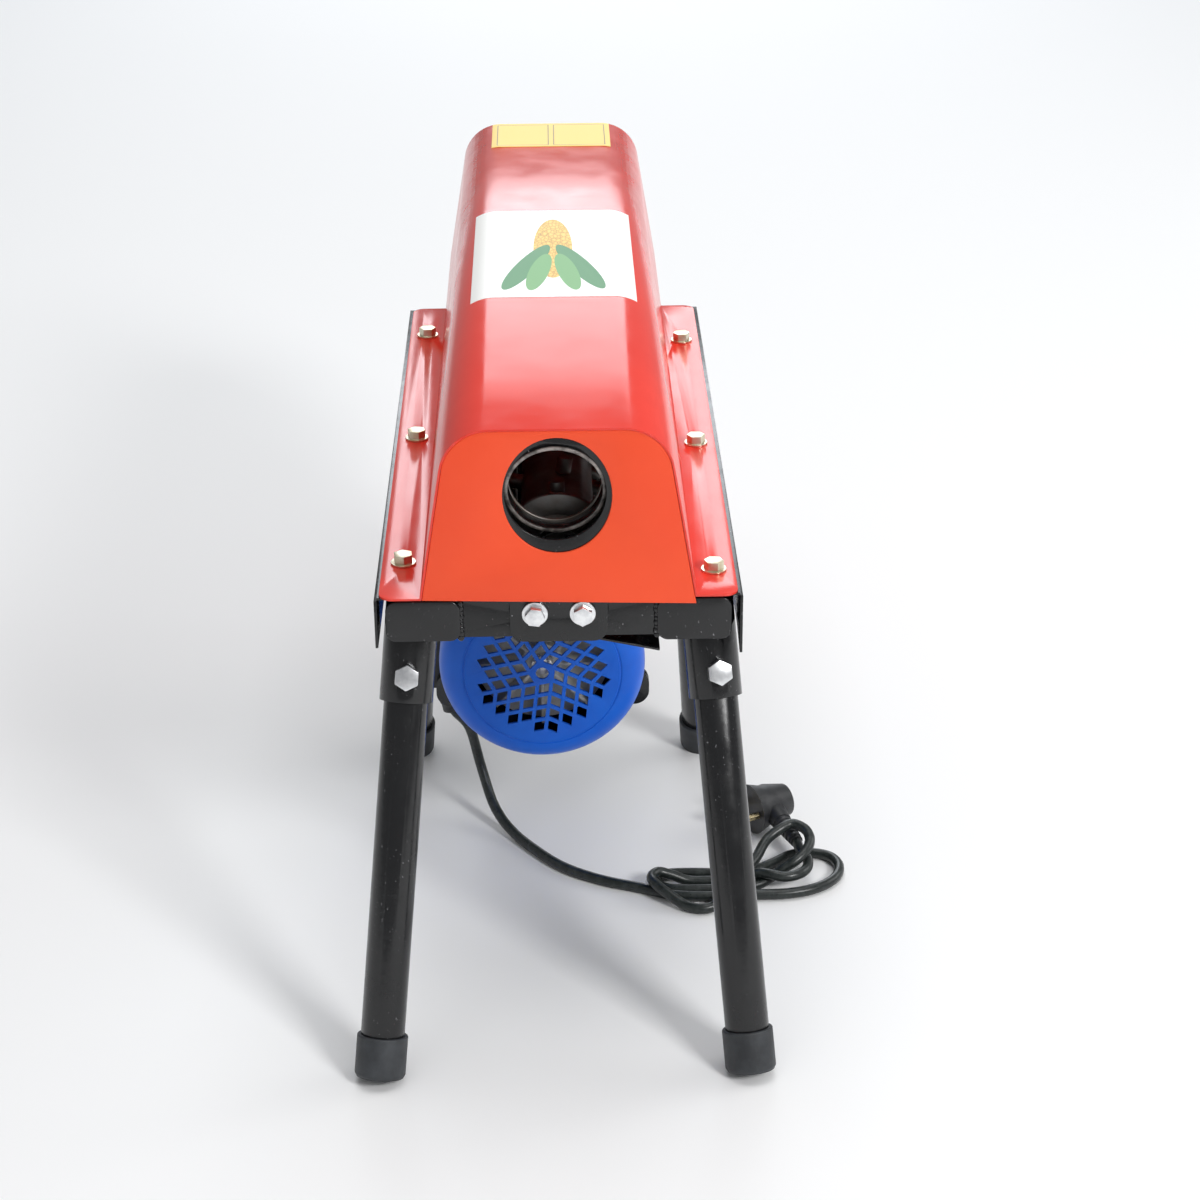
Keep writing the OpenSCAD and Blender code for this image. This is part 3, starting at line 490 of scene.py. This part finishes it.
# ---------------------------------------------------------------- Feed tube
# Black enamelled steel tube with a slanted mouth; the ears have rubbed the paint off its rim and
# left pale scratches along the inside.
tube_low, tube_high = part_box("feed_tube")
mouth_slant = math.radians(13.5)
mouth_to_end = 0.016
mouth_middle = Vector(((tube_low.x + tube_high.x) / 2, tube_high.y - mouth_to_end,
                       (tube_low.z + tube_high.z) / 2))
tube_enamel, shader = new_finish("tube_enamel", (0.012, 0.011, 0.011), 0.18)
nodes, links = tube_enamel.node_tree.nodes, tube_enamel.node_tree.links
place = nodes.new("ShaderNodeTexCoord")
depth = nodes.new("ShaderNodeVectorMath")
depth.operation = "DOT_PRODUCT"
depth.inputs[1].default_value = (0, math.cos(mouth_slant), math.sin(mouth_slant))
links.new(place.outputs["Object"], depth.inputs[0])
from_mouth = nodes.new("ShaderNodeMapRange")
from_mouth.inputs["From Min"].default_value = (mouth_middle.y * math.cos(mouth_slant)
                                               + mouth_middle.z * math.sin(mouth_slant))
rubbed_width = 0.0022
from_mouth.inputs["From Max"].default_value = from_mouth.inputs["From Min"].default_value + rubbed_width
from_mouth.inputs["To Min"].default_value = 1.0
from_mouth.inputs["To Max"].default_value = 0.0
links.new(depth.outputs["Value"], from_mouth.inputs["Value"])
rubbed = nodes.new("ShaderNodeMath")
rubbed.operation = "MULTIPLY"
links.new(from_mouth.outputs["Result"], rubbed.inputs[0])
rub_marks = ramp(tube_enamel, grain(tube_enamel, 130, 4), ((0.35, 0.15), (0.6, 1.0)))
links.new(rub_marks, rubbed.inputs[1])
scratched = nodes.new("ShaderNodeMath")
scratched.operation = "MAXIMUM"
links.new(rubbed.outputs[0], scratched.inputs[0])
scratches = ramp(tube_enamel, grain(tube_enamel, 170, 6, (1, 0.3, 2.2), 0.7),
                 ((0.66, 0.0), (0.72, 0.5)))
links.new(scratches, scratched.inputs[1])
blend_colour(tube_enamel, shader, scratched.outputs[0], (0.008, 0.007, 0.007), (0.3, 0.27, 0.25))
links.new(ramp(tube_enamel, grain(tube_enamel, 60, 4), ((0.3, 0.12), (0.8, 0.36))),
          shader.inputs["Roughness"])
add_bump(tube_enamel, shader, grain(tube_enamel, 200, 4), 0.2, 0.0006)
paint(rounded_copy("feed_tube", "feed_tube_steel", 0.0005, 3), tube_enamel)

# ---------------------------------------------------------------- Weld beads
# Short hand-laid steel beads on the front cross member, one for each of its two lugs, under the
# same black paint.


def weld_bead(name, start, end, count, size, seed):
    """A row of flat overlapping blobs, as a hand-laid bead shows them."""
    hand = random.Random(seed)
    blobs = []
    run = Vector(end) - Vector(start)
    for k in range(count):
        bpy.ops.object.select_all(action="DESELECT")
        spot = Vector(start) + run * (k + 0.5) / count
        wide = size * hand.uniform(0.85, 1.15)
        bpy.ops.mesh.primitive_ico_sphere_add(subdivisions=2, radius=wide, location=spot,
                                              scale=(0.9, 0.55, 1))
        blob = settle(fresh(name + str(k)))
        bpy.ops.object.mode_set(mode="EDIT")
        bpy.ops.mesh.select_all(action="SELECT")
        bpy.ops.transform.vertex_random(offset=0.0003, seed=seed * 50 + k)
        bpy.ops.object.mode_set(mode="OBJECT")
        bpy.ops.object.shade_smooth()
        blobs.append(blob)
    bead = joined(name, blobs)
    paint(bead, frame_enamel)
    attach(bead, "machine")


bead_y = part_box("front_cross_member")[0].y - 0.0004
bead_x = 0.0548
bead_z = (0.2528, 0.276)
for side, word in ((-1, "left"), (1, "right")):
    weld_bead(word + "_lug_bead", (side * bead_x, bead_y, bead_z[0]),
              (side * bead_x, bead_y, bead_z[1]), 9, 0.0021, 7 + side)

# ---------------------------------------------------------------- Bolts and screws
# Hex flange screws in yellow zinc hold the hood; bright zinc hex bolts hold the tab, the legs
# and the motor.
yellow_zinc, shader = new_finish("yellow_zinc", (0.6, 0.5, 0.3), 0.28, Metallic=1.0)
blend_colour(yellow_zinc, shader,
             ramp(yellow_zinc, grain(yellow_zinc, 160, 3), ((0.35, 0.0), (0.7, 1.0))),
             (0.78, 0.74, 0.6), (0.58, 0.48, 0.3))
add_bump(yellow_zinc, shader, grain(yellow_zinc, 900, 2), 0.1, 0.0003)
bright_zinc, shader = new_finish("bright_zinc", (0.75, 0.76, 0.77), 0.3, Metallic=1.0)
blend_colour(bright_zinc, shader,
             ramp(bright_zinc, grain(bright_zinc, 220, 3), ((0.35, 0.0), (0.75, 1.0))),
             (0.9, 0.91, 0.92), (0.66, 0.67, 0.69))
add_bump(bright_zinc, shader, grain(bright_zinc, 800, 3), 0.16, 0.0003)
paint(rounded_copy("hood_screws", "hood_screw_heads", 0.0004, 3), yellow_zinc)
for node in ("inlet_bolts", "leg_bolts", "motor_bolts"):
    paint(rounded_copy(node, node + "_zinc", 0.0005, 3), bright_zinc)

# ---------------------------------------------------------------- Foot caps
# Thick moulded rubber caps pushed over the leg ends, matt and a little dusty.
cap_rubber, shader = new_finish("cap_rubber", (0.03, 0.032, 0.034), 0.55)
blend_colour(cap_rubber, shader,
             ramp(cap_rubber, grain(cap_rubber, 70, 5), ((0.35, 0.0), (0.75, 1.0))),
             (0.018, 0.02, 0.023), (0.045, 0.05, 0.056))
add_bump(cap_rubber, shader, grain(cap_rubber, 700, 4), 0.25, 0.0004)
for corner in ("front_left", "front_right", "rear_left", "rear_right"):
    paint(rounded_copy(corner + "_cap", corner + "_foot", 0.0008, 3), cap_rubber)

# ---------------------------------------------------------------- Fan cover
# Moulded cobalt blue plastic with a satin face; five fans of lozenge slots let the air in.
cover_plastic, shader = new_finish("cover_plastic", (0.004, 0.11, 0.62), 0.36, Specular_IOR_Level=0.3)
blend_colour(cover_plastic, shader,
             ramp(cover_plastic, grain(cover_plastic, 30, 4), ((0.35, 0.0), (0.75, 1.0))),
             (0.004, 0.12, 0.64), (0.004, 0.095, 0.56))
add_bump(cover_plastic, shader, grain(cover_plastic, 1500, 2), 0.1, 0.0002)
cover_piece = rounded_copy("fan_cover", "fan_cover_moulding", 0.0003)
paint(cover_piece, cover_plastic)

# ---------------------------------------------------------------- Terminal box
# Black moulded plastic box with a flat lid on the motor's left side; the cord's gland is in its
# floor, and the plastic has a fine moulded grain.
box_plastic, shader = new_finish("box_plastic", (0.02, 0.02, 0.021), 0.5)
add_bump(box_plastic, shader, grain(box_plastic, 1600, 2), 0.3, 0.0003)
blend_colour(box_plastic, shader,
             ramp(box_plastic, grain(box_plastic, 50, 3), ((0.4, 0.0), (0.8, 1.0))),
             (0.016, 0.016, 0.017), (0.035, 0.035, 0.036))
for node in ("terminal_box", "terminal_lid"):
    paint(rounded_copy(node, node + "_moulding", 0.0008, 3), box_plastic)

# ---------------------------------------------------------------- Labels
# Two printed film stickers on the hood: a white one with a plain ear of corn, and a small
# yellow one with two empty ruled panels.


def object_place(finish, centre, size, turn=0.0):
    """The object's coordinates, centred on a spot, turned and scaled to a mark's half size."""
    nodes, links = finish.node_tree.nodes, finish.node_tree.links
    place = nodes.new("ShaderNodeTexCoord")
    mapping = nodes.new("ShaderNodeMapping")
    mapping.vector_type = "TEXTURE"
    mapping.inputs["Location"].default_value = (*centre, 0)
    mapping.inputs["Rotation"].default_value = (0, 0, math.radians(turn))
    mapping.inputs["Scale"].default_value = (size[0], size[1], 1000)
    links.new(place.outputs["Object"], mapping.inputs["Vector"])
    return mapping.outputs["Vector"]


def oval(finish, centre, size, turn=0.0):
    """White inside an oval, black outside."""
    nodes, links = finish.node_tree.nodes, finish.node_tree.links
    reach = nodes.new("ShaderNodeVectorMath")
    reach.operation = "LENGTH"
    links.new(object_place(finish, centre, size, turn), reach.inputs[0])
    inside = nodes.new("ShaderNodeMath")
    inside.operation = "LESS_THAN"
    inside.inputs[1].default_value = 1.0
    links.new(reach.outputs["Value"], inside.inputs[0])
    return inside.outputs[0]


label_low, label_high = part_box("main_label")
label_y = (label_low.y + label_high.y) / 2
white_film, shader = new_finish("white_film", (0.93, 0.93, 0.9), 0.4, Specular_IOR_Level=0.2)
kernels = white_film.node_tree.nodes.new("ShaderNodeTexVoronoi")
kernels.feature = "DISTANCE_TO_EDGE"
kernels.inputs["Scale"].default_value = 8.0
white_film.node_tree.links.new(object_place(white_film, (0, label_y), (0.02, 0.045)),
                               kernels.inputs["Vector"])
kernel_colour = ramp(white_film, kernels.outputs["Distance"],
                     ((0.0, (0.5, 0.24, 0.03)), (0.08, (0.78, 0.48, 0.07)),
                      (0.3, (0.85, 0.6, 0.14))))
ear = oval(white_film, (0, label_y + 0.008), (0.0125, 0.060))
film = blend_colour(white_film, shader, ear, (0.93, 0.93, 0.9), kernel_colour)
for side in (-1, 1):
    outer_leaf = oval(white_film, (side * 0.017, label_y - 0.030), (0.0075, 0.046), side * 17)
    film = blend_colour(white_film, shader, outer_leaf, film, (0.05, 0.24, 0.08))
    inner_leaf = oval(white_film, (side * 0.009, label_y - 0.040), (0.0065, 0.036), side * 8)
    film = blend_colour(white_film, shader, inner_leaf, film, (0.14, 0.38, 0.12))
paint(frame["nodes"]["main_label"], white_film)

rear_low, rear_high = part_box("rear_label")
rear_y = (rear_low.y + rear_high.y) / 2


def panel(finish, centre, half, line):
    """White on a thin ruled rectangle."""
    nodes, links = finish.node_tree.nodes, finish.node_tree.links
    place = nodes.new("ShaderNodeTexCoord")
    apart = nodes.new("ShaderNodeSeparateXYZ")
    links.new(place.outputs["Object"], apart.inputs[0])
    edges = []
    for axis in (0, 1):
        shift = nodes.new("ShaderNodeMath")
        shift.operation = "SUBTRACT"
        shift.inputs[1].default_value = centre[axis]
        links.new(apart.outputs[axis], shift.inputs[0])
        size = nodes.new("ShaderNodeMath")
        size.operation = "ABSOLUTE"
        links.new(shift.outputs[0], size.inputs[0])
        edge = nodes.new("ShaderNodeMath")
        edge.operation = "SUBTRACT"
        edge.inputs[1].default_value = half[axis]
        links.new(size.outputs[0], edge.inputs[0])
        edges.append(edge.outputs[0])
    outer = nodes.new("ShaderNodeMath")
    outer.operation = "MAXIMUM"
    links.new(edges[0], outer.inputs[0])
    links.new(edges[1], outer.inputs[1])
    near = nodes.new("ShaderNodeMath")
    near.operation = "COMPARE"
    near.inputs[1].default_value = 0.0
    near.inputs[2].default_value = line
    links.new(outer.outputs[0], near.inputs[0])
    return near.outputs[0]


yellow_film, shader = new_finish("yellow_film", (0.88, 0.6, 0.1), 0.4, Specular_IOR_Level=0.2)
film = (0.88, 0.6, 0.1)
for side in (-1, 1):
    ruled_panel = panel(yellow_film, (side * 0.0205, rear_y), (0.0185, 0.0265), 0.0004)
    film = blend_colour(yellow_film, shader, ruled_panel, film, (0.25, 0.17, 0.05))
paint(frame["nodes"]["rear_label"], yellow_film)

# ---------------------------------------------------------------- Works inside
# The threshing rotor and its cage are plain steel gone brown-grey from corn, the bearings and
# shafts are ground, the pulleys turned cast iron, and the motor holds a copper wound stator.
plain_steel, shader = new_finish("plain_steel", (0.28, 0.27, 0.26), 0.42, Metallic=0.85)
blend_colour(plain_steel, shader,
             ramp(plain_steel, grain(plain_steel, 45, 5), ((0.35, 0.0), (0.7, 1.0))),
             (0.3, 0.29, 0.28), (0.17, 0.13, 0.1))
add_bump(plain_steel, shader, grain(plain_steel, 300, 4), 0.2, 0.0005)
ground_steel, shader = new_finish("ground_steel", (0.62, 0.62, 0.62), 0.25, Metallic=1.0)
ground_steel.node_tree.links.new(
    ramp(ground_steel, grain(ground_steel, 90, 3, (1, 12, 1)), ((0.3, 0.18), (0.8, 0.38))),
    shader.inputs["Roughness"])
add_bump(ground_steel, shader, grain(ground_steel, 500, 3, (1, 8, 1)), 0.08, 0.0003)
turned_iron, shader = new_finish("turned_iron", (0.24, 0.24, 0.25), 0.4, Metallic=0.9)
add_bump(turned_iron, shader, grain(turned_iron, 900, 3), 0.25, 0.0004)
blend_colour(turned_iron, shader,
             ramp(turned_iron, grain(turned_iron, 60, 4), ((0.35, 0.0), (0.7, 1.0))),
             (0.26, 0.26, 0.27), (0.15, 0.14, 0.135))
copper_wire, shader = new_finish("copper_wire", (0.42, 0.16, 0.06), 0.35, Metallic=0.7)
add_bump(copper_wire, shader, grain(copper_wire, 260, 2, (1, 4, 1)), 0.6, 0.001)
belt_cloth, shader = new_finish("belt_cloth", (0.025, 0.025, 0.026), 0.7)
add_bump(belt_cloth, shader, grain(belt_cloth, 900, 2), 0.4, 0.0005)
blend_colour(belt_cloth, shader,
             ramp(belt_cloth, grain(belt_cloth, 80, 4), ((0.35, 0.0), (0.75, 1.0))),
             (0.02, 0.02, 0.021), (0.055, 0.053, 0.05))
fan_nylon, shader = new_finish("fan_nylon", (0.62, 0.62, 0.58), 0.5)
add_bump(fan_nylon, shader, grain(fan_nylon, 900, 2), 0.15, 0.0003)
blend_colour(fan_nylon, shader,
             ramp(fan_nylon, grain(fan_nylon, 50, 4), ((0.35, 0.0), (0.75, 1.0))),
             (0.66, 0.66, 0.62), (0.5, 0.49, 0.45))
for node in ("cage_front_plate", "cage_rear_plate", "concave_rods", "concave_hoops",
             "rotor_drum", "rotor_studs"):
    paint(rounded_copy(node, node + "_works", 0.0005), plain_steel)
for node in ("front_bearing", "rear_bearing", "rotor_shaft", "motor_shaft", "motor_rotor_core"):
    paint(rounded_copy(node, node + "_works", 0.0004), ground_steel)
for node in ("rotor_pulley", "motor_pulley"):
    paint(rounded_copy(node, node + "_works", 0.0006), turned_iron)
paint(rounded_copy("stator", "stator_works", 0.0012), copper_wire)
paint(rounded_copy("v_belt", "v_belt_works", 0.001), belt_cloth)
paint(rounded_copy("motor_fan", "motor_fan_works", 0.0004), fan_nylon)
